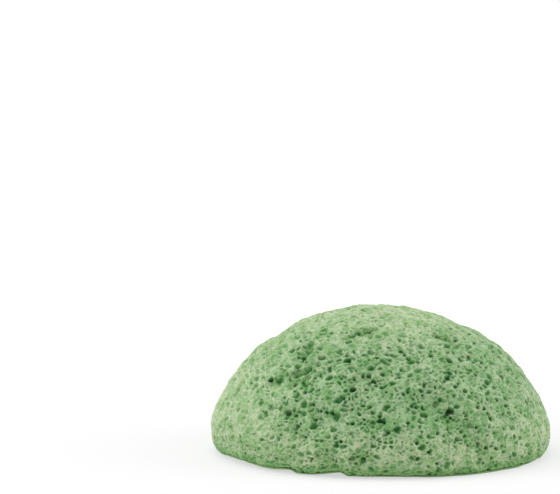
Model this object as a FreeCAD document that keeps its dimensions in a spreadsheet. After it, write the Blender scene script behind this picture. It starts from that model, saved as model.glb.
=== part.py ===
import FreeCAD, Part
import math
import os
import Sketcher

# A half-ball konjac sponge: a fine inner crumb inside an open-pored crust, both standing on
# the thin smooth skin that closes the flat underside.
# Millimetres, +Z up. The origin is the middle of the underside, on the surface it rests on.

SIZES = {
    # Outer form of the half ball
    "dome_width": 84.0,
    "dome_height": 36.0,
    "rim_height": 3.8,
    "rim_overhang": 1.5,
    # Flat underside
    "base_skin_thickness": 1.2,
    "base_edge": 0.8,
    # Open-pored crust
    "crust_thickness": 3.2,
    "pore_floor": 0.8,
    "pore_depth_least": 1.2,
    "pore_width_least": 1.6,
    "pore_width_most": 3.0,
    "pore_spacing": 8.4,
}

# The shoulder's radius is this share of the dome's height above its widest section.
SHOULDER_SHARE = 0.38

# Where the shoulder is first guessed to end, in degrees up from its level start
GUESSED_TURN = 25.0

# The crumb is a many-sided block, whose flat top ends below this tilt from the axis, in degrees.
CRUMB_SIDES = 16
CRUMB_TOP_TILT = 26.0

# The base's sloped edge takes up no more than this share of its thickness.
EDGE_SHARE_MOST = 0.9

# The pores stand in rings round the crown, one spacing apart, down to a last tilt in degrees.
# Steps that never repeat then shift, size, spin and lean them, so that no two are alike.
LAST_RING_TILT = 80.0
SHIFT_SHARE = 0.45
LEAN_MOST = 14.0
TILT_STEP = 0.754877666
TURN_STEP = 0.569840291
GROWTH_STEP = 0.618033989
SPIN_STEP = 0.414213562
FEWEST_SIDES = 5
SIDE_COUNTS = 2

# A pore's plug stands this far out of the crust, to cut its mouth clean.
MOUTH_CLEARANCE = 1.0

# How a sketch numbers its origin, its upright axis and the points of a line or an arc
ORIGIN, UPRIGHT = range(-1, -3, -1)
START, END, CENTRE = range(1, 4)

doc = FreeCAD.newDocument("konjac_sponge")


def make_sheet():
    """Put the driving dimensions in a sheet, one named cell each."""
    sheet = doc.addObject("Spreadsheet::Sheet", "sizes")
    for row, (name, value) in enumerate(SIZES.items(), start=1):
        sheet.set(f"A{row}", name)
        sheet.set(f"B{row}", str(value))
        sheet.setAlias(f"B{row}", name)
    doc.recompute()


def size(name):
    """The expression that reads one cell of the sheet."""
    return f"sizes.{name}"


# Half width of the foot, height of the widest section and radius of the shoulder, as expressions
FOOT = f"({size('dome_width')} / 2 - {size('rim_overhang')})"
WIDEST_HEIGHT = f"({size('base_skin_thickness')} + {size('rim_height')})"
SHOULDER = f"({SHOULDER_SHARE} * ({size('dome_height')} - {WIDEST_HEIGHT}))"


def new_body(name):
    """An empty body named after its piece."""
    body = doc.addObject("PartDesign::Body", name)
    body.Label = name
    return body


def origin_plane(body, role):
    """One of a body's own origin planes."""
    return next(feature for feature in body.Origin.OriginFeatures if feature.Role == role)


def new_sketch(body, name, plane):
    """An empty sketch on one of the body's origin planes."""
    sketch = body.newObject("Sketcher::SketchObject", name)
    sketch.AttachmentSupport = [(origin_plane(body, plane), "")]
    sketch.MapMode = "FlatFace"
    return sketch


def bind(sketch, name, constraint, expression):
    """Add a named dimension to a sketch and tie it to an expression."""
    index = sketch.addConstraint(constraint)
    sketch.renameConstraint(index, name)
    sketch.setExpression(f"Constraints.{name}", expression)


def measure(sketch, name, constraint):
    """Add a named dimension that only reads what the sketch comes to."""
    index = sketch.addConstraint(constraint)
    sketch.renameConstraint(index, name)
    sketch.setDriving(index, False)


def line(sketch, first, last):
    """Draw a line between two points of a sketch."""
    return sketch.addGeometry(Part.LineSegment(FreeCAD.Vector(*first, 0), FreeCAD.Vector(*last, 0)))


def arc(sketch, centre, radius, first, last):
    """Draw an arc of a sketch from one angle to another, in degrees."""
    circle = Part.Circle(FreeCAD.Vector(*centre, 0), FreeCAD.Vector(0, 0, 1), radius)
    return sketch.addGeometry(Part.ArcOfCircle(circle, math.radians(first), math.radians(last)))


def across(geometry, point, value):
    """A dimension from the origin to a point, level."""
    return Sketcher.Constraint("DistanceX", ORIGIN, START, geometry, point, value)


def upwards(geometry, point, value):
    """A dimension from the origin to a point, upright."""
    return Sketcher.Constraint("DistanceY", ORIGIN, START, geometry, point, value)


def draw_outside(body):
    """Half section of the whole dome, closed along its axis.

    A foot, an undercut rim, a shoulder and a shallower crown: the shoulder stands upright
    where the dome is widest, and the crown runs on from it without a kink.
    """
    sketch = new_sketch(body, "dome_outside", "XZ_Plane")
    half = SIZES["dome_width"] / 2
    foot = half - SIZES["rim_overhang"]
    floor = SIZES["base_skin_thickness"]
    widest = floor + SIZES["rim_height"]
    top = SIZES["dome_height"]
    bend = SHOULDER_SHARE * (top - widest)

    # First guesses, which the constraints below then settle
    foot_line = line(sketch, (0, floor), (foot, floor))
    rim = line(sketch, (foot, floor), (half, widest))
    shoulder = arc(sketch, (half - bend, widest), bend, 0, GUESSED_TURN)
    crown = arc(sketch, (0, top - half), half, GUESSED_TURN, 90)
    axis = line(sketch, (0, top), (0, floor))

    for constraint in (
        ("Coincident", foot_line, END, rim, START),
        ("Coincident", rim, END, shoulder, START),
        ("Tangent", shoulder, END, crown, START),
        ("Coincident", crown, END, axis, START),
        ("Coincident", axis, END, foot_line, START),
        ("Horizontal", foot_line),
        ("Horizontal", shoulder, CENTRE, shoulder, START),
        ("PointOnObject", axis, START, UPRIGHT),
        ("PointOnObject", axis, END, UPRIGHT),
        ("PointOnObject", crown, CENTRE, UPRIGHT),
    ):
        sketch.addConstraint(Sketcher.Constraint(*constraint))

    bind(sketch, "floor", upwards(foot_line, START, floor), size("base_skin_thickness"))
    bind(sketch, "foot", across(foot_line, END, foot), FOOT)
    bind(sketch, "half_width", across(shoulder, START, half), f"{size('dome_width')} / 2")
    bind(sketch, "widest", upwards(shoulder, START, widest), WIDEST_HEIGHT)
    bind(sketch, "top", upwards(axis, START, top), size("dome_height"))
    bind(sketch, "shoulder", Sketcher.Constraint("Radius", shoulder, bend), SHOULDER)

    # The crown's radius and the tilt at which it takes over follow from the rest
    measure(sketch, "crown", Sketcher.Constraint("Radius", crown, half))
    measure(sketch, "takeover", Sketcher.Constraint("Angle", crown, math.radians(GUESSED_TURN)))
    return sketch


def under_surface(outside, tilt, depth):
    """Distance out from the axis and height, as expressions, of a point below the dome's surface.

    The point lies on the line that stands square to the surface where it has that tilt.
    """
    if tilt < outside.getDatum("takeover").Value:
        bend = "(dome_outside.Constraints.crown / 1 mm)"
        centre_out = "0"
        centre_up = f"({size('dome_height')} - {bend})"
    else:
        bend = SHOULDER
        centre_out = f"({size('dome_width')} / 2 - {bend})"
        centre_up = WIDEST_HEIGHT
    out = f"({centre_out} + ({bend} - {depth}) * sin({tilt:.3f} deg))"
    up = f"({centre_up} + ({bend} - {depth}) * cos({tilt:.3f} deg))"
    return out, up


def make_dome():
    """The whole dome above the base, its half section turned once round the upright axis."""
    body = new_body("dome")
    outside = draw_outside(body)
    turned = body.newObject("PartDesign::Revolution", "dome_turned")
    turned.Profile = (outside, [""])
    turned.ReferenceAxis = (outside, ["V_Axis"])
    turned.Angle = 360
    doc.recompute()
    return body, outside


def make_inner_crumb(outside):
    """The fine-celled inside: a block with a wide slope round its top, kept one crust thickness in."""
    radius = f"({FOOT} - {size('crust_thickness')})"
    top_out, top_up = under_surface(outside, CRUMB_TOP_TILT, size("crust_thickness"))
    block = doc.addObject("Part::Prism", "crumb_block")
    block.Polygon = CRUMB_SIDES
    block.setExpression("Circumradius", radius)
    block.setExpression("Height", f"{top_up} - {size('base_skin_thickness')}")
    body = new_body("inner_crumb")
    body.BaseFeature = block
    body.setExpression("Placement.Base.z", size("base_skin_thickness"))
    doc.recompute()
    base = body.Tip
    middle = base.Shape.BoundBox.Center.z
    top_edges = [f"Edge{number}" for number, edge in enumerate(base.Shape.Edges, start=1)
                 if edge.BoundBox.ZMin > middle]
    slope = body.newObject("PartDesign::Chamfer", "crumb_slope")
    slope.Base = (base, top_edges)
    slope.setExpression("Size", f"{radius} - {top_out}")
    return body


def uneven(step, count):
    """A number from 0 to 1 that differs from one count to the next and never repeats."""
    return (step * count) % 1


def pore_places(outside):
    """Tilt from the axis and turn round it of every pore, in degrees, ring after ring."""
    spacing = SIZES["pore_spacing"]
    crown = outside.getDatum("crown").Value
    shoulder = outside.getDatum("shoulder").Value
    takeover = math.radians(outside.getDatum("takeover").Value)
    crown_length = crown * takeover
    count = 0
    along = spacing / 2
    while True:
        if along < crown_length:
            bend = crown
            tilt = along / crown
            radius = crown * math.sin(tilt)
        else:
            bend = shoulder
            tilt = takeover + (along - crown_length) / shoulder
            radius = SIZES["dome_width"] / 2 - shoulder + shoulder * math.sin(tilt)
        if math.degrees(tilt) > LAST_RING_TILT:
            return
        places = round(2 * math.pi * radius / spacing)
        for place in range(places):
            count += 1
            shift_down = SHIFT_SHARE * spacing * (uneven(TILT_STEP, count) - 0.5)
            shift_round = SHIFT_SHARE * spacing * (uneven(TURN_STEP, count) - 0.5)
            turn = 2 * math.pi * place / places + shift_round / radius
            yield math.degrees(tilt + shift_down / bend), math.degrees(turn)
        along += spacing


def make_pore(outside, count, tilt, turn):
    """A many-sided plug that stands square to the crust, from a pore's floor to past its mouth."""
    growth = f"{uneven(GROWTH_STEP, count) ** 2:.4f}"
    depth_most = f"({size('crust_thickness')} - {size('pore_floor')})"
    depth = f"({size('pore_depth_least')} + {growth} * ({depth_most} - {size('pore_depth_least')}))"
    widening = f"({size('pore_width_most')} - {size('pore_width_least')})"
    width = f"({size('pore_width_least')} + {growth} * {widening})"
    out, up = under_surface(outside, tilt, depth)

    pore = doc.addObject("Part::Prism", f"pore_{count:03d}")
    pore.Polygon = FEWEST_SIDES + count % SIDE_COUNTS
    pore.FirstAngle = LEAN_MOST * (2 * uneven(TURN_STEP, count) - 1)
    pore.SecondAngle = LEAN_MOST * (2 * uneven(TILT_STEP, count) - 1)
    level = FreeCAD.Vector(-math.sin(math.radians(turn)), math.cos(math.radians(turn)), 0)
    spin = FreeCAD.Rotation(FreeCAD.Vector(0, 0, 1), 360 * uneven(SPIN_STEP, count))
    pore.Placement = FreeCAD.Placement(FreeCAD.Vector(), FreeCAD.Rotation(level, tilt) * spin)
    pore.setExpression("Circumradius", f"{width} / 2")
    pore.setExpression("Height", f"{depth} + {MOUTH_CLEARANCE}")
    pore.setExpression("Placement.Base.x", f"{out} * cos({turn:.3f} deg)")
    pore.setExpression("Placement.Base.y", f"{out} * sin({turn:.3f} deg)")
    pore.setExpression("Placement.Base.z", up)
    return pore


def make_pored_crust(dome, outside, crumb):
    """What the crumb and the pores leave of the dome."""
    pores = [make_pore(outside, count, tilt, turn)
             for count, (tilt, turn) in enumerate(pore_places(outside), start=1)]
    hollows = doc.addObject("Part::Compound", "hollows")
    hollows.Links = [crumb] + pores
    crust = doc.addObject("Part::Cut", "pored_crust")
    crust.Base = dome
    crust.Tool = hollows
    return crust


def make_base_skin():
    """The thin smooth disc under the sponge, with its lower edge sloped off."""
    body = new_body("base_skin")
    sketch = new_sketch(body, "base_circle", "XY_Plane")
    foot = SIZES["dome_width"] / 2 - SIZES["rim_overhang"]
    circle = sketch.addGeometry(
        Part.Circle(FreeCAD.Vector(0, 0, 0), FreeCAD.Vector(0, 0, 1), foot))
    sketch.addConstraint(Sketcher.Constraint("Coincident", circle, CENTRE, ORIGIN, START))
    bind(sketch, "radius", Sketcher.Constraint("Radius", circle, foot), FOOT)
    disc = body.newObject("PartDesign::Pad", "base_disc")
    disc.Profile = (sketch, [""])
    disc.setExpression("Length", size("base_skin_thickness"))
    doc.recompute()
    middle = SIZES["base_skin_thickness"] / 2
    lower = next(number for number, rim in enumerate(disc.Shape.Edges, start=1)
                 if rim.BoundBox.ZMax < middle)
    edge = body.newObject("PartDesign::Chamfer", "base_slope")
    edge.Base = (disc, [f"Edge{lower}"])
    edge_most = f"{EDGE_SHARE_MOST} * {size('base_skin_thickness')}"
    edge.setExpression("Size", f"min({size('base_edge')}; {edge_most})")
    return body


def check(pieces):
    """Stop before anything is written if an object failed or a piece has no sound shape."""
    for thing in doc.Objects:
        if {"Invalid", "Error"} & set(thing.State):
            raise RuntimeError(f"{thing.Label} did not build: {thing.State}")
    for piece in pieces:
        if piece.Shape.isNull() or not piece.Shape.isValid():
            raise RuntimeError(f"{piece.Label} has no valid shape")


make_sheet()
dome, outside = make_dome()
inner_crumb = make_inner_crumb(outside)
pieces = [inner_crumb, make_pored_crust(dome, outside, inner_crumb), make_base_skin()]
doc.recompute()
check(pieces)

os.makedirs("parts", exist_ok=True)
for piece in pieces:
    piece.Shape.exportStep(f"parts/{piece.Label}.step")
    print(f"{piece.Label}: {len(piece.Shape.Solids)} solid, {piece.Shape.Volume / 1000:.1f} cm3")
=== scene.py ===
"""A half-ball konjac sponge on a white floor: open-pored green foam on a thin, smoother skin."""

import math

import bpy
import numpy as np
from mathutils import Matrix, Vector


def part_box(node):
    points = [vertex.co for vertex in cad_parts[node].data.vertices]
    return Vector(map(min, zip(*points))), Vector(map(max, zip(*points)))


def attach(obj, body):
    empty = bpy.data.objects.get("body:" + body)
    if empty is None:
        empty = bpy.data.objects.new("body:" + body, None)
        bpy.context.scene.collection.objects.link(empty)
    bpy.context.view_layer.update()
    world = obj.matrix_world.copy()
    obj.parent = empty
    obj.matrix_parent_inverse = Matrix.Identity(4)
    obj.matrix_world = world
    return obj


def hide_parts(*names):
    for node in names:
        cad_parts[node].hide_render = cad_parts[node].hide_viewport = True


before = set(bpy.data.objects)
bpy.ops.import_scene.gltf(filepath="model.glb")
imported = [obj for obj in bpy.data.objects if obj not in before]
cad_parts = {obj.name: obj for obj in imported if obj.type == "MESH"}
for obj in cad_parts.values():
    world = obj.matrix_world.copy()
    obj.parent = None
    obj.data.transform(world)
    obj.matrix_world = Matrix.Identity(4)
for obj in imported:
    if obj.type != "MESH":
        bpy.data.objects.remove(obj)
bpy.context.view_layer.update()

MM = 0.001

# Sizes that the solids are made from, in metres
RIM_HEIGHT = 3.8 * MM
RIM_OVERHANG = 1.5 * MM
SHOULDER_SHARE = 0.38
CRUST_THICKNESS = 3.2 * MM
PORE_FLOOR = 0.8 * MM
PORE_DEPTH_LEAST = 1.2 * MM
PORE_WIDTH_LEAST = 1.6 * MM
PORE_WIDTH_MOST = 3.0 * MM
PORE_SPACING = 8.4 * MM
LAST_RING_TILT = math.radians(80)
SHIFT_SHARE = 0.45
TILT_STEP = 0.754877666
TURN_STEP = 0.569840291
GROWTH_STEP = 0.618033989

# The dome's section: a round crown, a round shoulder, and the tilt where one takes over from the other
crust_low, crust_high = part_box("pored_crust")
HALF_WIDTH = (crust_high.x - crust_low.x) / 2
TOP = crust_high.z
SKIN_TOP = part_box("base_skin")[1].z
FOOT = HALF_WIDTH - RIM_OVERHANG
WIDEST = SKIN_TOP + RIM_HEIGHT
DOME_RISE = TOP - WIDEST
SHOULDER = SHOULDER_SHARE * DOME_RISE
SHOULDER_OUT = HALF_WIDTH - SHOULDER
CROWN = (SHOULDER_OUT ** 2 + DOME_RISE ** 2 - SHOULDER ** 2) / (2 * (DOME_RISE - SHOULDER))
CROWN_CENTRE = TOP - CROWN
TAKEOVER = math.asin(SHOULDER_OUT / (CROWN - SHOULDER))


# Node trees

class Wire:
    """A socket of a node tree; sums of wires add Math nodes to the tree."""

    def __init__(self, board, socket):
        self.board = board
        self.socket = socket

    def math(self, operation, first, second):
        return self.board.node("ShaderNodeMath", {"operation": operation}, {0: first, 1: second})

    def __add__(self, other):
        return self.math("ADD", self, other)

    def __radd__(self, other):
        return self.math("ADD", other, self)

    def __sub__(self, other):
        return self.math("SUBTRACT", self, other)

    def __rsub__(self, other):
        return self.math("SUBTRACT", other, self)

    def __mul__(self, other):
        return self.math("MULTIPLY", self, other)

    def __rmul__(self, other):
        return self.math("MULTIPLY", other, self)

    def __truediv__(self, other):
        return self.math("DIVIDE", self, other)

    def __rtruediv__(self, other):
        return self.math("DIVIDE", other, self)

    def __pow__(self, other):
        return self.math("POWER", self, other)

    def most(self, other):
        """The larger of two values."""
        return self.math("MAXIMUM", self, other)

    def least(self, other):
        """The smaller of two values."""
        return self.math("MINIMUM", self, other)

    def output(self, name):
        """Another output of the same node."""
        return Wire(self.board, self.socket.node.outputs[name])


class Board:
    """A node tree that is filled by each node's type, settings and sockets."""

    def __init__(self, tree):
        self.tree = tree
        tree.nodes.clear()

    def node(self, kind, settings=None, sockets=None, output=0):
        """Add a node and return one of its outputs, or the node itself where it has none."""
        made = self.tree.nodes.new(kind)
        for name, value in (settings or {}).items():
            if name == "stops":
                fill_ramp(made.color_ramp, value)
            else:
                setattr(made, name, value)
        for name, value in (sockets or {}).items():
            if isinstance(value, Wire):
                self.tree.links.new(value.socket, made.inputs[name])
            else:
                made.inputs[name].default_value = value
        return Wire(self, made.outputs[output]) if len(made.outputs) else made

    def smooth(self, value, low, high, start=0.0, end=1.0):
        """An S-shaped change from start to end while the value goes from low to high."""
        return self.node("ShaderNodeMapRange", {"interpolation_type": "SMOOTHSTEP"},
                         {"Value": value, "From Min": low, "From Max": high, "To Min": start, "To Max": end})

    def fall(self, value, low, high):
        """An S-shaped change from 1 to 0 while the value goes from low to high."""
        return self.smooth(value, low, high, 1.0, 0.0)

    def vector(self, operation, first, second=None, scale=None):
        """One step of vector maths."""
        sockets = {0: first}
        if second is not None:
            sockets[1] = second
        if scale is not None:
            sockets["Scale"] = scale
        return self.node("ShaderNodeVectorMath", {"operation": operation}, sockets,
                         output="Value" if operation in ("LENGTH", "DISTANCE") else "Vector")

    def blend(self, share, first, second, kind="MIX"):
        """A colour between two others."""
        return self.node("ShaderNodeMix", {"data_type": "RGBA", "blend_type": kind},
                         {0: share, 6: first, 7: second}, output=2)

    def noise(self, place, size, detail=2.0, output=0):
        """Soft noise whose patches are about one size wide."""
        return self.node("ShaderNodeTexNoise", {"noise_dimensions": "3D"},
                         {"Vector": place, "Scale": 1.0 / size, "Detail": detail}, output=output)

    def patches(self, place, size, detail, low, high, start=0.0, end=1.0):
        """Patches of noise that go from start to end between two of its values."""
        return self.smooth(self.noise(place, size, detail), low, high, start, end)

    def cells(self, place, size, feature="F1"):
        """Uneven cells about one size wide: the distance to their middles or to their edges."""
        return self.node("ShaderNodeTexVoronoi", {"voronoi_dimensions": "3D", "feature": feature},
                         {"Vector": place, "Scale": 1.0 / size}, output="Distance")

    def parts(self, triple):
        """The three numbers that a place or a cell's random colour holds."""
        split = self.node("ShaderNodeSeparateXYZ", None, {0: triple})
        return [split.output(axis) for axis in "XYZ"]

    def stored(self, name):
        """A number that the mesh stores for each point, as a material reads it."""
        return self.node("ShaderNodeAttribute", {"attribute_name": name}, output="Fac")


def fill_ramp(ramp, stops):
    """Give a colour ramp its stops."""
    while len(ramp.elements) < len(stops):
        ramp.elements.new(1.0)
    for element, (place, shown) in zip(ramp.elements, stops):
        element.position = place
        element.color = colour(*shown)


def colour(red, green, blue):
    """A colour as it shows on a screen, from 0 to 255, as a shader takes it."""
    def straight(value):
        value /= 255
        return value / 12.92 if value <= 0.04045 else ((value + 0.055) / 1.055) ** 2.4
    return straight(red), straight(green), straight(blue), 1.0


def grey(value):
    """A grey of so much light."""
    return value, value, value, 1.0


def between(limits, share):
    """What lies a share of the way from the first limit to the second."""
    first, second = limits
    return first + (second - first) * share


def step(values, low, high):
    """An S-shaped change from 0 to 1 between two limits."""
    share = np.clip((values - low) / (high - low), 0, 1)
    return share * share * (3 - 2 * share)


def bell(distances, reach):
    """1 in the middle, and about a third of that one reach away."""
    return np.exp(-(distances / reach) ** 2)


# Turned blanks

# The flat map of a piece leaves a margin inside its square.
MAP_RADIUS = 0.49
MAP_MIDDLE = 0.5
FEWEST_IN_RING = 8


def resample(path, spacing):
    """Points about one spacing apart along a path of distances out and heights."""
    path = np.array(path)
    along = np.r_[0, np.cumsum(np.hypot(*np.diff(path, axis=0).T))]
    marks = np.linspace(0, along[-1], max(2, round(along[-1] / spacing) + 1))
    return np.c_[np.interp(marks, along, path[:, 0]), np.interp(marks, along, path[:, 1])]


def zip_rings(first, first_count, second, second_count):
    """Triangles between two rings of points that start at the same turn."""
    if first_count == 1:
        ahead = np.arange(second_count)
        return np.c_[np.full(second_count, first), second + ahead, second + (ahead + 1) % second_count]
    if second_count == 1:
        ahead = np.arange(first_count)
        return np.c_[first + ahead, np.full(first_count, second), first + (ahead + 1) % first_count]
    first_ends = np.arange(1, first_count + 1) / first_count
    second_ends = np.arange(1, second_count + 1) / second_count
    order = np.argsort(np.r_[first_ends, second_ends], kind="stable")
    on_first = order < first_count
    gone_first = np.cumsum(on_first) - on_first
    gone_second = np.cumsum(~on_first) - ~on_first
    here_first = first + gone_first % first_count
    here_second = second + gone_second % second_count
    next_first = first + (gone_first + 1) % first_count
    next_second = second + (gone_second + 1) % second_count
    return np.c_[here_first, here_second, np.where(on_first, next_first, next_second)]


def turned_blank(name, runs, map_from_top):
    """A closed turned shape of even triangles, from the top of its axis to the bottom.

    Each run is a path of distances out and heights, the spacing of its points, and the share
    of its area that it gets on the flat map.
    """
    rings, spacings, shares = [], [], []
    for path, spacing, share in runs:
        points = resample(path, spacing)[1 if rings else 0:]
        rings += list(points)
        spacings += [spacing] * len(points)
        shares += [share] * len(points)
    rings = np.array(rings)
    counts = [1 if out < spacing / 2 else max(FEWEST_IN_RING, round(2 * math.pi * out / spacing))
              for out, spacing in zip(rings[:, 0], spacings)]
    starts = np.r_[0, np.cumsum(counts)]
    turns = np.concatenate([2 * math.pi * np.arange(count) / count for count in counts])
    ring_of = np.repeat(np.arange(len(rings)), counts)
    out, up = rings[ring_of].T
    places = np.c_[out * np.cos(turns), out * np.sin(turns), up]
    faces = np.concatenate([zip_rings(starts[k], counts[k], starts[k + 1], counts[k + 1])
                            for k in range(len(rings) - 1)])

    lengths = np.hypot(*np.diff(rings, axis=0).T)
    areas = lengths * (rings[1:, 0] + rings[:-1, 0]) * np.array(shares[1:])
    covered = np.r_[0, np.cumsum(areas)]
    if not map_from_top:
        covered = covered[-1] - covered
    reach = MAP_RADIUS * np.sqrt(covered / covered.max())[ring_of]
    flat = MAP_MIDDLE + np.c_[reach * np.cos(turns), reach * np.sin(turns)]
    far_pole = len(places) - 1 if map_from_top else 0
    corners = flat[faces]
    for corner in range(3):
        at_pole = faces[:, corner] == far_pole
        corners[at_pole, corner] = (corners[at_pole, corner - 1] + corners[at_pole, corner - 2]) / 2

    mesh = bpy.data.meshes.new(name)
    mesh.from_pydata(places, [], faces)
    mesh.uv_layers.new(name="OFBake").data.foreach_set("uv", corners.ravel())
    mesh.polygons.foreach_set("use_smooth", np.ones(len(faces), bool))
    blank = bpy.data.objects.new(name, mesh)
    bpy.context.scene.collection.objects.link(blank)
    return blank, places


def move_points(blank, places):
    """Give the points of a blank new places."""
    blank.data.vertices.foreach_set("co", places.ravel())
    blank.data.update()


def keep_on_points(mesh, name, values):
    """Store a number for each point of a mesh."""
    mesh.attributes.new(name, "FLOAT", "POINT").data.foreach_set("value", np.asarray(values, np.float32))


# The shape of the foam

FOAM_SPACING = 0.16 * MM
HIDDEN_SPACING = 2.5 * MM
HIDDEN_SHARE = 0.03
CROWN_SAMPLES = 200
SHOULDER_SAMPLES = 80
RIM_SAMPLES = 40
RIM_SQUARENESS = 3.0
CROWN_LEAN = -1.3 * MM

# The foam hangs over the skin down to here, all round a seat in its underside.
FOAM_FOOT = 0.4 * MM
SEAT = FOOT - 1.2 * MM

# Folds in the crust: points along each, then how wide and how deep it is, in millimetres
FOLDS = (
    (((-16.8, -18, 28.2), (-17.9, -22.5, 25)), 1.5, 1.8),
    (((-16.2, -25.2, 24.2), (-19.5, -24.8, 22.7)), 1.1, 2.4),
    (((-17.5, -27.5, 21.6), (-20.9, -26.9, 20)), 1.1, 1.6),
    (((-23.9, -23.4, 20.6), (-25.9, -21.8, 20.1)), 1.1, 1.4),
    (((-8.4, -19.4, 30.8), (-4.2, -18.5, 31.8), (-1.8, -18.2, 32.1), (0.5, -17, 32.7)), 0.75, 1.35),
    (((12.6, -34.8, 17), (18.1, -35.5, 12.5), (22.4, -35.2, 8.1)), 2.8, 1.1),
    (((14.6, -15.6, 31), (18.2, -15.4, 29.7)), 1.8, 1.6),
)
FOLD_WOBBLE = 0.4 * MM
FOLD_WOBBLE_LENGTH = 0.6 * MM

# Broad bumps and dents, and the knobs beside the folds: middle, reach and height, in millimetres
BUMPS = (
    ((33.5, -2.0, 21.0), 3.5, -1.5),
    ((29.0, -2.0, 23.0), 15.0, 1.5),
    ((-5.0, 0.0, 36.0), 16.0, 0.45),
    ((-31.0, 0.0, 24.0), 9.0, 0.8),
    ((-15.0, -22.8, 26.4), 2.2, 0.7),
    ((-14.1, -26.2, 24.4), 2.2, 0.6),
)

# Where the edge of the underside curls up off the floor: turn and reach in degrees, lift in millimetres
CURLS = ((211, 18, 1.0), (268, 20, 0.4))

# Small steps in the edge, which stands higher to the left of each, given in the same way
STEPS = ((257.5, 8, 0.9), (239, 9, 0.7))
STEP_WIDTH = 3.5

# What lifts with the edge: from this far out, and up to this height
CURL_INNER = 24 * MM
CURL_TOP = 14 * MM


def dome_path():
    """The dome's outside from its top to its widest section."""
    on_crown = np.linspace(0, TAKEOVER, CROWN_SAMPLES)
    on_shoulder = np.linspace(TAKEOVER, math.pi / 2, SHOULDER_SAMPLES)[1:]
    out = np.r_[CROWN * np.sin(on_crown), SHOULDER_OUT + SHOULDER * np.sin(on_shoulder)]
    up = np.r_[CROWN_CENTRE + CROWN * np.cos(on_crown), WIDEST + SHOULDER * np.cos(on_shoulder)]
    return np.c_[out, up]


def rim_path():
    """The undercut from the widest section down to the foot."""
    down = np.linspace(0, 1, RIM_SAMPLES)
    return np.c_[HALF_WIDTH - RIM_OVERHANG * down ** RIM_SQUARENESS, WIDEST - (WIDEST - FOAM_FOOT) * down]


def distance_to_line(places, line):
    """How far each place is from a line of straight runs."""
    nearest = np.full(len(places), np.inf)
    for start, end in zip(line[:-1], line[1:]):
        run = end - start
        share = np.clip((places - start) @ run / (run @ run), 0, 1)
        nearest = np.minimum(nearest, np.linalg.norm(places - start - share[:, None] * run, axis=1))
    return nearest


def fold_depth(places):
    """How deep the folds are at each place."""
    total = np.zeros(len(places))
    wavy = places + FOLD_WOBBLE * np.sin(places[:, (1, 2, 0)] / FOLD_WOBBLE_LENGTH)
    for line, width, depth in FOLDS:
        total += depth * MM * bell(distance_to_line(wavy, np.array(line) * MM), width * MM)
    return total


def shape_dome(places):
    """Lean the crown over and press the folds and bumps into the dome."""
    outward = places - np.array([0, 0, CROWN_CENTRE])
    outward /= np.linalg.norm(outward, axis=1)[:, None]
    rise = -fold_depth(places)
    for middle, reach, height in BUMPS:
        distance = np.linalg.norm(places - np.array(middle) * MM, axis=1)
        rise += height * MM * bell(distance, reach * MM)
    shaped = places + outward * rise[:, None]
    shaped[:, 0] += CROWN_LEAN * places[:, 2] / TOP
    return curl_edge(shaped)


def curl_edge(places):
    """Lift the edge of the underside off the floor where it has curled."""
    turn = np.degrees(np.arctan2(places[:, 1], places[:, 0])) % 360
    out = np.hypot(places[:, 0], places[:, 1])
    near_edge = step(out, CURL_INNER, FOOT) * (1 - step(places[:, 2], 0, CURL_TOP))
    curled = places.copy()
    for middle, reach, lift in CURLS:
        curled[:, 2] += lift * MM * bell(turn - middle, reach) * near_edge
    for middle, reach, lift in STEPS:
        left_of_it = 1 - step(turn, middle - STEP_WIDTH / 2, middle + STEP_WIDTH / 2)
        curled[:, 2] += lift * MM * bell(turn - middle, reach) * left_of_it * near_edge
    return curled


# Zones of the foam

# Coarse cells, from 0 to 1: little on the crown and more down its sides, with waves round the dome
COARSE_BY_TILT = (0.2, 0.95)
COARSE_TILTS = (math.radians(16), math.radians(42))
COARSE_WAVE_COUNT = 3
COARSE_WAVE_START = 1.0
COARSE_WAVE_HEIGHT = 0.08

# They get finer towards the left and the right, but stay coarse at the foot.
COARSE_AT_LEFT = (0.3, 1.0)
LEFT_PLACES = (-36 * MM, -14 * MM)
RIGHT_LOSS = 0.6
RIGHT_PLACES = (24 * MM, 38 * MM)
COARSE_AT_FOOT = 0.8
COARSE_FOOT_HEIGHTS = (3 * MM, 9 * MM)

# All relief is less at the very foot, and there is none in the seat.
RELIEF_BY_HEIGHT = (0.55, 1.0)
RELIEF_HEIGHT = 0.9 * MM
SEAT_MARGIN = 0.01 * MM

# Heights above the foot where its greener colour ends, which is partly its own and partly painted shade under
# the overhang, and the depth at which the painted shade in a fold is full
FOOT_GREEN_AND_SHADE_HEIGHTS = (0.6 * MM, 3.0 * MM)
FOLD_SHADE = 1.9 * MM


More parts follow.
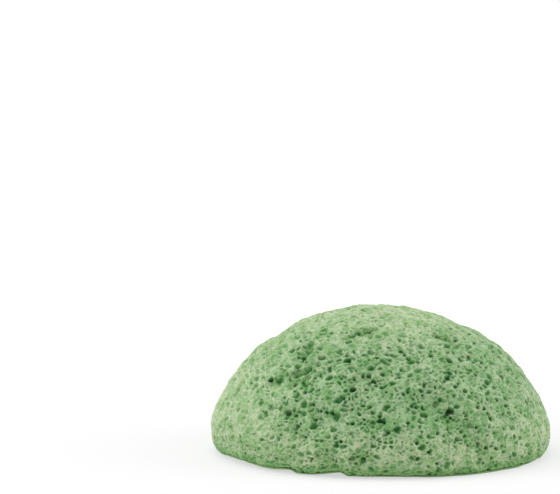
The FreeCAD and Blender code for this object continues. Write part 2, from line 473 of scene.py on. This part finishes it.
def foam_zones(places):
    """Numbers for each place of the bare dome, which the cells and the colours go by."""
    across, away, height = places.T
    out = np.hypot(across, away)
    tilt = np.arctan2(out, height - CROWN_CENTRE)
    waves = np.sin(COARSE_WAVE_COUNT * np.arctan2(away, across) + COARSE_WAVE_START)
    coarse = between(COARSE_BY_TILT, step(tilt, *COARSE_TILTS)) + COARSE_WAVE_HEIGHT * waves
    from_right = 1 - RIGHT_LOSS * step(across, *RIGHT_PLACES)
    coarse *= between(COARSE_AT_LEFT, step(across, *LEFT_PLACES) * from_right)
    coarse = np.maximum(coarse, COARSE_AT_FOOT * (1 - step(height, *COARSE_FOOT_HEIGHTS)))

    in_seat = (height < SKIN_TOP + SEAT_MARGIN) & (out < FOOT - SEAT_MARGIN)
    relief = between(RELIEF_BY_HEIGHT, step(height, FOAM_FOOT, FOAM_FOOT + RELIEF_HEIGHT))
    green_shade_low, green_shade_high = FOOT_GREEN_AND_SHADE_HEIGHTS
    return {
        "coarse": np.clip(coarse, 0, 1),
        "fade": np.where(in_seat, 0, relief),
        "foot": 1 - step(height, FOAM_FOOT + green_shade_low, FOAM_FOOT + green_shade_high),
        "fold": np.clip(fold_depth(places) / FOLD_SHADE, 0, 1),
    }


# The solids' pores

def uneven(pace, count):
    """A number from 0 to 1 that differs from one count to the next and never repeats."""
    return (pace * count) % 1


def on_dome(tilt):
    """The distance out and the height of the dome where it tilts so far."""
    if tilt < TAKEOVER:
        return CROWN * math.sin(tilt), CROWN_CENTRE + CROWN * math.cos(tilt)
    return SHOULDER_OUT + SHOULDER * math.sin(tilt), WIDEST + SHOULDER * math.cos(tilt)


def pore_points():
    """The solids' own large pores, as points with a width and a depth each."""
    places, widths, depths = [], [], []
    crown_length = CROWN * TAKEOVER
    along = PORE_SPACING / 2
    count = 0
    while True:
        if along < crown_length:
            bend, tilt = CROWN, along / CROWN
        else:
            bend, tilt = SHOULDER, TAKEOVER + (along - crown_length) / SHOULDER
        if tilt > LAST_RING_TILT:
            break
        radius, _ = on_dome(tilt)
        in_ring = round(2 * math.pi * radius / PORE_SPACING)
        for number in range(in_ring):
            count += 1
            shift_down = SHIFT_SHARE * PORE_SPACING * (uneven(TILT_STEP, count) - 0.5)
            shift_round = SHIFT_SHARE * PORE_SPACING * (uneven(TURN_STEP, count) - 0.5)
            turn = 2 * math.pi * number / in_ring + shift_round / radius
            out, up = on_dome(tilt + shift_down / bend)
            growth = uneven(GROWTH_STEP, count) ** 2
            places.append((out * math.cos(turn), out * math.sin(turn), up))
            widths.append(between((PORE_WIDTH_LEAST, PORE_WIDTH_MOST), growth))
            depths.append(between((PORE_DEPTH_LEAST, CRUST_THICKNESS - PORE_FLOOR), growth))
        along += PORE_SPACING
    mesh = bpy.data.meshes.new("pore_points")
    mesh.from_pydata(shape_dome(np.array(places)), [], [])
    keep_on_points(mesh, "width", widths)
    keep_on_points(mesh, "depth", depths)
    points = bpy.data.objects.new("pore_points", mesh)
    bpy.context.scene.collection.objects.link(points)
    return points


# Cells

# The named inputs of the cell tree
CELL_VALUES = {
    "Cell size": 2.0 * MM,
    "Cell depth": 1.15 * MM,
    "Small size": 0.9 * MM,
    "Small depth": 0.48 * MM,
    "Hole spacing": 2.25 * MM,
    "Hole depth": 1.6 * MM,
    "Pin spacing": 1.0 * MM,
    "Pin depth": 0.6 * MM,
    "Lump size": 7 * MM,
    "Lump height": 1.3 * MM,
}

# Cells are this many times wider than they are high.
FLATNESS = 1.3

# How a place is pushed about before cells are laid on it: the size of the waves, and how far they push
CELL_WARP = (3.2 * MM, 1.6 * MM)
SMALL_WARP = (1.6 * MM, 0.7 * MM)
HOLE_WARP = (2.0 * MM, 0.9 * MM)
PORE_WARP = (1.8 * MM, 1.7 * MM)

# Shifts that keep the holes and pinholes from lining up with the cells
HOLE_SHIFT = (0.31, 0.17, 0.53)
PIN_SHIFT = (0.71, 0.43, 0.29)

# A cell's bowl deepens between the first two distances from its edge and ends between the next two from
# its middle, as shares of its size. The higher the rarity, the fewer are deep.
BOWL_EDGE = (0.02, 0.38)
BOWL_MIDDLE = (0.38, 0.72)
BOWL_DEPTHS = (0.25, 1.0)
WALL_EDGE = (0.04, 0.2)
CELL_RARITY = 1.3
SMALL_RARITY = 1.2

# Middling cells as shares of the large ones, and the patches where the cells are large
MIDDLING_SIZE = 0.68
MIDDLING_DEPTH = 0.85
LARGE_PATCHES = (8.0 * MM, 2.0, 0.42, 0.52)

# Where two cells overlap, the deeper counts in full and the other for this share.
OVERLAP = 0.3

# Holes: their reach and depth, the patches where they are wider, and how much of the reach is floor
HOLE_REACH = (0.14, 0.42)
HOLE_DEPTHS = (0.45, 1.0)
HOLE_PATCHES = (5.0 * MM, 2.0, 0.35, 0.65, 0.65, 1.15)
HOLE_FLOOR = 0.45
PIN_EDGE = (0.15, 0.38)

# Half a pore's mouth as a share of its width, and how much of that is floor
PORE_HALF = (0.3, 0.44)
PORE_MOUTH_FLOOR = 0.4

# What is left of each kind where the foam is finest and where it is coarsest
CELLS_LEFT = (0.3, 1.0)
SMALL_LEFT = (0.45, 1.0)
HOLES_LEFT = (0.3, 1.0)
HOLE_REACH_LEFT = (0.6, 1.05)
PINS_LEFT = (1.0, 0.4)
PORES_LEFT = (0.25, 1.0)

LUMP_DETAIL = 3.0
NOISE_MIDDLE = 0.5

# The depth at which the painted shade down in the foam's cells and holes is darkest
DARKEST_DEPTH = 2.0 * MM


def cell_tree(material):
    """Geometry nodes that press cells, holes and pores into a blank, along its normals."""
    tree = bpy.data.node_groups.new("foam_cells", "GeometryNodeTree")
    tree.interface.new_socket("Geometry", in_out="INPUT", socket_type="NodeSocketGeometry")
    tree.interface.new_socket("Geometry", in_out="OUTPUT", socket_type="NodeSocketGeometry")
    sockets = {}
    for name in ("Pores", *CELL_VALUES):
        kind = "NodeSocketFloat" if name in CELL_VALUES else "NodeSocketObject"
        sockets[name] = tree.interface.new_socket(name, in_out="INPUT", socket_type=kind).identifier
    board = Board(tree)
    given = board.node("NodeGroupInput", output="Geometry")
    place = board.node("GeometryNodeInputPosition")
    normal = board.node("GeometryNodeInputNormal")

    def on_points(name):
        """A number that is stored for each point."""
        return board.node("GeometryNodeInputNamedAttribute", {"data_type": "FLOAT"}, {"Name": name})

    def warped(size, amount):
        """The place, pushed about so that nothing on it stays regular."""
        middle = (NOISE_MIDDLE, NOISE_MIDDLE, NOISE_MIDDLE)
        push = board.vector("SUBTRACT", board.noise(place, size, output="Color"), middle)
        return board.vector("ADD", place, board.vector("SCALE", push, scale=amount))

    def flattened(place):
        """The place for cells that are wider than they are high."""
        return board.vector("MULTIPLY", place, (1.0, 1.0, FLATNESS))

    def bowls(place, size, depth, rarity):
        """Thin-walled cells, each a bowl of its own depth: how deep, how much wall, and a random tone."""
        edge = board.cells(place, size, "DISTANCE_TO_EDGE")
        middle = board.cells(place, size)
        depth_random, tone, _ = board.parts(middle.output("Color"))
        bowl = board.smooth(edge, *BOWL_EDGE) * board.fall(middle, *BOWL_MIDDLE)
        deep = bowl * between(BOWL_DEPTHS, depth_random ** rarity) * depth
        return deep, board.fall(edge, *WALL_EDGE), tone

    coarse = on_points("coarse")
    fade = on_points("fade")

    # Large cells in some patches and middling ones in the others, with small cells inside them all
    cell_size = given.output("Cell size")
    cell_depth = given.output("Cell depth")
    cell_place = flattened(warped(*CELL_WARP))
    large = bowls(cell_place, cell_size, cell_depth, CELL_RARITY)
    middling = bowls(cell_place, cell_size * MIDDLING_SIZE, cell_depth * MIDDLING_DEPTH, CELL_RARITY)
    patch = board.patches(place, *LARGE_PATCHES)
    cells, wall, tone = [one * patch + other * (1.0 - patch) for one, other in zip(large, middling)]
    small, small_wall, _ = bowls(flattened(warped(*SMALL_WARP)),
                                 given.output("Small size"), given.output("Small depth"), SMALL_RARITY)
    cells = cells * between(CELLS_LEFT, coarse)
    small = small * between(SMALL_LEFT, coarse)
    cells = cells.most(small) + OVERLAP * cells.least(small)

    # Round holes of many sizes that break through them
    hole_place = board.vector("ADD", flattened(warped(*HOLE_WARP)), HOLE_SHIFT)
    hole = board.cells(hole_place, given.output("Hole spacing"))
    hole_random, hole_depth, _ = board.parts(hole.output("Color"))
    crowd = board.patches(place, *HOLE_PATCHES)
    reach = between(HOLE_REACH, hole_random) * between(HOLE_REACH_LEFT, coarse) * crowd
    holes = board.fall(hole, reach * HOLE_FLOOR, reach) * between(HOLE_DEPTHS, hole_depth)
    holes = holes * given.output("Hole depth") * between(HOLES_LEFT, coarse)

    # Pinholes, mostly where the foam is fine
    pin_place = board.vector("ADD", warped(*SMALL_WARP), PIN_SHIFT)
    pin = board.cells(pin_place, given.output("Pin spacing"))
    pin_random, _, _ = board.parts(pin.output("Color"))
    pins = board.fall(pin, *PIN_EDGE) * pin_random * given.output("Pin depth")
    pins = pins * between(PINS_LEFT, coarse)

    # The large pores of the solids, with an uneven mouth
    pores = board.node("GeometryNodeObjectInfo", None, {"Object": given.output("Pores")}, output="Geometry")
    pore_place = warped(*PORE_WARP)
    nearest = board.node("GeometryNodeSampleNearest", {"domain": "POINT"},
                         {"Geometry": pores, "Sample Position": pore_place})

    def of_nearest(value, kind="FLOAT"):
        """What the nearest pore says about itself."""
        return board.node("GeometryNodeSampleIndex", {"data_type": kind, "domain": "POINT"},
                          {"Geometry": pores, "Value": value, "Index": nearest})

    pore_middle = of_nearest(place, "FLOAT_VECTOR")
    half = of_nearest(on_points("width")) * between(PORE_HALF, coarse)
    from_pore = board.vector("DISTANCE", flattened(pore_place), flattened(pore_middle))
    pore = board.fall(from_pore, half * PORE_MOUTH_FLOOR, half) * of_nearest(on_points("depth"))
    pore = pore * between(PORES_LEFT, coarse)

    sunk = cells.most(holes).most(pins).most(pore) * fade
    lump = (board.noise(place, given.output("Lump size"), LUMP_DETAIL) - NOISE_MIDDLE) / NOISE_MIDDLE
    rise = lump * given.output("Lump height") * fade - sunk

    # The stored sunk depth drives the foam's painted shade by depth.
    kept = given
    for name, value in (("sunk", sunk / DARKEST_DEPTH), ("wall", wall.most(small_wall)), ("tone", tone)):
        kept = board.node("GeometryNodeStoreNamedAttribute", {"data_type": "FLOAT", "domain": "POINT"},
                          {"Geometry": kept, "Name": name, "Value": value})
    moved = board.node("GeometryNodeSetPosition", None,
                       {"Geometry": kept, "Offset": board.vector("SCALE", normal, scale=rise)})
    whole = board.node("GeometryNodeRealizeInstances", None, {"Geometry": moved})
    dressed = board.node("GeometryNodeSetMaterial", None, {"Geometry": whole, "Material": material})
    board.node("NodeGroupOutput", None, {"Geometry": dressed})
    return tree, sockets


def press_cells(blank, tree, sockets, values):
    """Run the cell tree on a blank and keep the result as its plain mesh."""
    modifier = blank.modifiers.new("cells", "NODES")
    modifier.node_group = tree
    for name, value in values.items():
        modifier[sockets[name]] = value
    bpy.context.view_layer.update()
    ready = blank.evaluated_get(bpy.context.evaluated_depsgraph_get())
    mesh = bpy.data.meshes.new_from_object(ready)
    mesh.name = blank.name
    blank.modifiers.remove(modifier)
    bare = blank.data
    blank.data = mesh
    bpy.data.meshes.remove(bare)


# The look of the foam

# Painted shade by depth, darker down in the cells and holes: the share of the darkest depth, and the colour
# as it shows on a screen
FOAM_DEPTH_SHADE_RAMP = (
    (0.0, (194, 208, 169)),
    (0.12, (156, 190, 138)),
    (0.28, (114, 163, 105)),
    (0.5, (84, 143, 82)),
    (1.0, (60, 118, 62)),
)

# Brightness: what all foam has, then what broad patches and each cell's own tone add to it
SHADE_LEAST = 0.86
SHADE_BY_PATCH = 0.16
SHADE_BY_CELL = 0.12
SHADE_PATCH_SIZE = 14 * MM
SHADE_PATCH_DETAIL = 3.0

# Layers over the ramp, from the first to the last: name, strength, colour and kind of mix
FOAM_LAYERS = (
    # Painted shade on the coarse front above its foot
    ("deep", 1.0, (219, 239, 226), "MULTIPLY"),
    # Painted shade in the middles of the finest cells, between their pale threads
    ("net", 0.25, (182, 206, 172), "MULTIPLY"),
    ("damp", 0.65, (176, 218, 166), "MULTIPLY"),
    ("fold", 0.8, (150, 205, 140), "MULTIPLY"),
    ("bright", 0.25, (206, 220, 180), "MIX"),
    ("specks", 0.45, (214, 202, 170), "MIX"),
    # Greener and darker at the foot: partly its own colour, partly painted shade under the overhang
    ("foot", 0.6, (158, 226, 146), "MULTIPLY"),
)

# Where the layers show: heights, cells, and patches of noise by size, detail and limits
# Painted shade: the coarse front turns darker and greener above these heights, where less light falls
FRONT_SHADE_HEIGHTS = (5 * MM, 14 * MM)
# The finest cells, whose middles get painted shade and sink in the bump
NET_SIZE = 0.75 * MM
NET_EDGE = (0.02, 0.24)
DAMP_PATCHES = (3.4 * MM, 2.0, 0.42, 0.64)
BRIGHT_PATCHES = (2.2 * MM, 2.0, 0.46, 0.66)
SPECK_PATCHES = (1.6 * MM, 1.0, 0.62, 0.75)

GRAIN_SIZE = 0.35 * MM
FOAM_ROUGHNESS = (0.86, 0.96)
FOAM_BUMP = {"Strength": 0.35, "Distance": 0.15 * MM}
FOAM_SHEEN = {"Specular IOR Level": 0.25, "Sheen Weight": 0.18, "Sheen Roughness": 0.5}


def foam_material():
    """Konjac foam: pale walls, with painted shade that makes the floors mid-green and the holes dark green.
    """
    material = bpy.data.materials.new("konjac_foam")
    material.use_nodes = True
    board = Board(material.node_tree)
    place = board.node("ShaderNodeTexCoord", output="Object")
    # Painted shade: the colour darkens with the stored depth of the cells and holes
    painted_depth_shade = board.node("ShaderNodeValToRGB", {"stops": FOAM_DEPTH_SHADE_RAMP}, {"Fac": board.stored("sunk")},
                          output="Color")
    patches = board.noise(place, SHADE_PATCH_SIZE, SHADE_PATCH_DETAIL)
    shade = SHADE_LEAST + SHADE_BY_PATCH * patches + SHADE_BY_CELL * board.stored("tone")
    shade_colour = board.node("ShaderNodeCombineColor", None, {"Red": shade, "Green": shade, "Blue": shade})
    surface = board.blend(1.0, painted_depth_shade, shade_colour, "MULTIPLY")

    # Painted shade on the coarse front above its foot, painted shade in the middles of the finest cells
    # between their pale threads, damper patches, painted shade down in the folds, bright walls with pale
    # specks, and a greener foot, partly its own colour and partly painted shade under the overhang
    _, _, height = board.parts(place)
    wall = board.stored("wall")
    net = board.smooth(board.cells(place, NET_SIZE, "DISTANCE_TO_EDGE"), *NET_EDGE)
    shows = {
        # Painted shade on the coarse front above its foot
        "deep": board.stored("coarse") * board.smooth(height, *FRONT_SHADE_HEIGHTS),
        # Painted shade in the middles of the finest cells
        "net": net,
        "damp": board.patches(place, *DAMP_PATCHES),
        "fold": board.stored("fold"),
        "bright": board.patches(place, *BRIGHT_PATCHES) * wall,
        "specks": board.patches(place, *SPECK_PATCHES) * wall,
        # Greener and darker foot: partly its own colour, partly painted shade under the overhang
        "foot": board.stored("foot"),
    }
    for name, strength, tint, kind in FOAM_LAYERS:
        surface = board.blend(shows[name] * strength, surface, colour(*tint), kind)

    grain = board.noise(place, GRAIN_SIZE)
    bump = board.node("ShaderNodeBump", None, FOAM_BUMP | {"Height": grain - net})
    shader = board.node("ShaderNodeBsdfPrincipled", None, FOAM_SHEEN | {
        "Base Color": surface, "Roughness": between(FOAM_ROUGHNESS, grain), "Normal": bump})
    board.node("ShaderNodeOutputMaterial", None, {"Surface": shader})
    return material


def make_foam():
    """The open-pored half ball: one blank, its zones, and the cells pressed into it."""
    outside = np.r_[dome_path(), rim_path()[1:]]
    underside = np.array([(FOOT, FOAM_FOOT), (SEAT, FOAM_FOOT), (SEAT, SKIN_TOP), (0, SKIN_TOP)])
    runs = ((outside, FOAM_SPACING, 1.0), (underside, HIDDEN_SPACING, HIDDEN_SHARE))
    blank, places = turned_blank("foam", runs, map_from_top=True)
    move_points(blank, shape_dome(places))
    for name, values in foam_zones(places).items():
        keep_on_points(blank.data, name, values)
    points = pore_points()
    tree, sockets = cell_tree(foam_material())
    press_cells(blank, tree, sockets, {"Pores": points} | CELL_VALUES)
    bpy.data.objects.remove(points)
    return blank


# Base skin

SKIN_SPACING = 0.5 * MM
LIP_SPACING = 0.2 * MM
LIP_SAMPLES = 14
LIP_RADIUS = 0.35 * MM
LIP_START = FOOT - LIP_RADIUS

# Waves that make the lip ragged: how many go round it, their height in millimetres and where they start
LIP_WAVES = ((5, 0.22, 0.4), (11, 0.16, 1.9), (19, 0.12, 0.8), (31, 0.09, 2.6), (53, 0.06, 1.2))

# Two greens in patches, and darker dots in both
SKIN_DARK = (114, 158, 92)
SKIN_PALE = (140, 182, 114)
SKIN_DOT = (78, 120, 62)
SKIN_PATCH_SIZE = 6 * MM
SKIN_PATCH_DETAIL = 3.0
DOT_SPACING = 1.1 * MM
DOT_EDGE = (0.1, 0.38)
DOT_STRENGTH = 0.45
SKIN_ROUGHNESS = (0.62, 0.82)
SKIN_SPECULAR = 0.35
SKIN_BUMP = {"Strength": 0.5, "Distance": 0.15 * MM}


def skin_material():
    """The denser skin under the foam, smoother and a deeper green."""
    material = bpy.data.materials.new("konjac_skin")
    material.use_nodes = True
    board = Board(material.node_tree)
    place = board.node("ShaderNodeTexCoord", output="Object")
    patches = board.noise(place, SKIN_PATCH_SIZE, SKIN_PATCH_DETAIL)
    dots = board.fall(board.cells(place, DOT_SPACING), *DOT_EDGE)
    surface = board.blend(patches, colour(*SKIN_DARK), colour(*SKIN_PALE))
    surface = board.blend(dots * DOT_STRENGTH, surface, colour(*SKIN_DOT))
    bump = board.node("ShaderNodeBump", None, SKIN_BUMP | {"Height": 1.0 - dots})
    shader = board.node("ShaderNodeBsdfPrincipled", None, {
        "Base Color": surface, "Roughness": between(SKIN_ROUGHNESS, patches), "Normal": bump,
        "Specular IOR Level": SKIN_SPECULAR})
    board.node("ShaderNodeOutputMaterial", None, {"Surface": shader})
    return material


def make_skin():
    """The flat skin that closes the underside, with a soft uneven lip all round."""
    bend = np.linspace(-math.pi / 2, math.pi / 2, LIP_SAMPLES)
    lip = np.c_[LIP_START + LIP_RADIUS * np.cos(bend), FOAM_FOOT / 2 - FOAM_FOOT / 2 * np.sin(bend)]
    top = np.array([(0, SKIN_TOP), (SEAT, SKIN_TOP), (SEAT, FOAM_FOOT), (LIP_START, FOAM_FOOT)])
    under = np.array([(LIP_START, 0), (0, 0)])
    runs = ((top, HIDDEN_SPACING, HIDDEN_SHARE), (lip, LIP_SPACING, 1.0), (under, SKIN_SPACING, 1.0))
    blank, places = turned_blank("skin", runs, map_from_top=False)
    turn = np.arctan2(places[:, 1], places[:, 0])
    wave = sum(height * MM * np.sin(count * turn + start) for count, height, start in LIP_WAVES)
    near_lip = step(np.hypot(places[:, 0], places[:, 1]), SEAT, LIP_START)
    ragged = places.copy()
    ragged[:, :2] *= (1 + wave * near_lip / FOOT)[:, None]
    move_points(blank, curl_edge(ragged))
    blank.data.materials.append(skin_material())
    return blank


# Studio

# The picture: its size, how many of its pixels the sponge's width takes, and where the middle of the base is
IMAGE_WIDTH, IMAGE_HEIGHT = 560, 494
SPONGE_WIDTH = 84 * MM
SPONGE_PIXELS = 335
PIXEL = SPONGE_WIDTH / SPONGE_PIXELS
BASE_PIXEL = (382, 449.6)
CAMERA_DISTANCE = 0.7
CAMERA_ELEVATION = math.radians(9.6)
CLIP_START = 0.01
SENSOR_WIDTH = 36.0

# Lamps: name, place, width and power
LAMPS = (
    ("key", (-0.15, 0.12, 0.65), 0.6, 2.0),
    ("left", (-0.6, -0.1, 0.35), 0.5, 1.8),
    ("right", (0.6, 0.0, 0.3), 0.5, 1.8),
    ("fill", (-0.2, -0.9, 0.4), 0.8, 0.5),
)

# The floor throws more light on the sponge than it shows when looked at, and it glows more further away.
FLOOR_REACH = 6.0
FLOOR_DROP = 0.1 * MM
FLOOR_LIT = 0.85
FLOOR_SEEN = 0.36
GLOW_DISTANCES = (0.07, 0.35)
GLOW = (0.6, 1.0)
WORLD_LIGHT = (0.45, 1.0)
WHITE = grey(1.0)


def aim(thing, place):
    """Turn a camera or a lamp towards a place."""
    thing.rotation_euler = (place - thing.location).to_track_quat("-Z", "Y").to_euler()


def add_camera():
    """A camera in front of the sponge, a little above it, framed as the photograph is."""
    data = bpy.data.cameras.new("camera")
    data.sensor_width = SENSOR_WIDTH
    data.lens = SENSOR_WIDTH * CAMERA_DISTANCE / (IMAGE_WIDTH * PIXEL)
    data.clip_start = CLIP_START
    camera = bpy.data.objects.new("camera", data)
    bpy.context.scene.collection.objects.link(camera)
    bpy.context.scene.camera = camera
    camera.location = Vector((0, -math.cos(CAMERA_ELEVATION), math.sin(CAMERA_ELEVATION))) * CAMERA_DISTANCE
    up = Vector((0, math.sin(CAMERA_ELEVATION), math.cos(CAMERA_ELEVATION)))
    middle = Vector((1, 0, 0)) * (IMAGE_WIDTH / 2 - BASE_PIXEL[0]) * PIXEL
    middle += up * (BASE_PIXEL[1] - IMAGE_HEIGHT / 2) * PIXEL
    aim(camera, middle)


def add_lamp(name, place, size, power):
    """A square lamp aimed at the sponge."""
    data = bpy.data.lights.new(name, "AREA")
    data.shape = "SQUARE"
    data.size = size
    data.energy = power
    lamp = bpy.data.objects.new(name, data)
    lamp.location = place
    aim(lamp, Vector((0, 0, TOP / 2)))
    bpy.context.scene.collection.objects.link(lamp)


def seen_rays(board):
    """1 for what is seen straight, mirrored or through something clear; 0 for light that falls on things."""
    straight = board.node("ShaderNodeLightPath", output="Is Camera Ray")
    return straight.most(straight.output("Is Glossy Ray")).most(straight.output("Is Transmission Ray"))


def add_floor():
    """A white floor that keeps the sponge's shadow."""
    mesh = bpy.data.meshes.new("floor")
    corner = FLOOR_REACH / 2
    mesh.from_pydata([(-corner, -corner, 0), (corner, -corner, 0), (corner, corner, 0), (-corner, corner, 0)],
                     [], [(0, 1, 2, 3)])
    floor = bpy.data.objects.new("floor", mesh)
    floor.location.z = -FLOOR_DROP
    bpy.context.scene.collection.objects.link(floor)
    material = bpy.data.materials.new("white_floor")
    material.use_nodes = True
    board = Board(material.node_tree)
    seen = seen_rays(board)
    paint = board.blend(seen, grey(FLOOR_LIT), grey(FLOOR_SEEN))
    matt = board.node("ShaderNodeBsdfDiffuse", None, {"Color": paint})
    away = board.vector("LENGTH", board.node("ShaderNodeTexCoord", output="Object"))
    glow = board.node("ShaderNodeEmission", None, {
        "Color": WHITE, "Strength": board.smooth(away, *GLOW_DISTANCES, *GLOW) * seen})
    board.node("ShaderNodeOutputMaterial", None, {
        "Surface": board.node("ShaderNodeAddShader", None, {0: matt, 1: glow})})
    mesh.materials.append(material)


def light_world():
    """Even white light all round, and a white background."""
    world = bpy.data.worlds.new("studio")
    bpy.context.scene.world = world
    world.use_nodes = True
    board = Board(world.node_tree)
    strength = between(WORLD_LIGHT, seen_rays(board))
    background = board.node("ShaderNodeBackground", None, {"Color": WHITE, "Strength": strength})
    board.node("ShaderNodeOutputWorld", None, {"Surface": background})


foam = make_foam()
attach(foam, "root")
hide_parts("pored_crust", "inner_crumb")

skin = make_skin()
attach(skin, "root")
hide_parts("base_skin")

add_floor()
light_world()
for lamp in LAMPS:
    add_lamp(*lamp)
add_camera()
bpy.context.scene.view_settings.view_transform = "Standard"
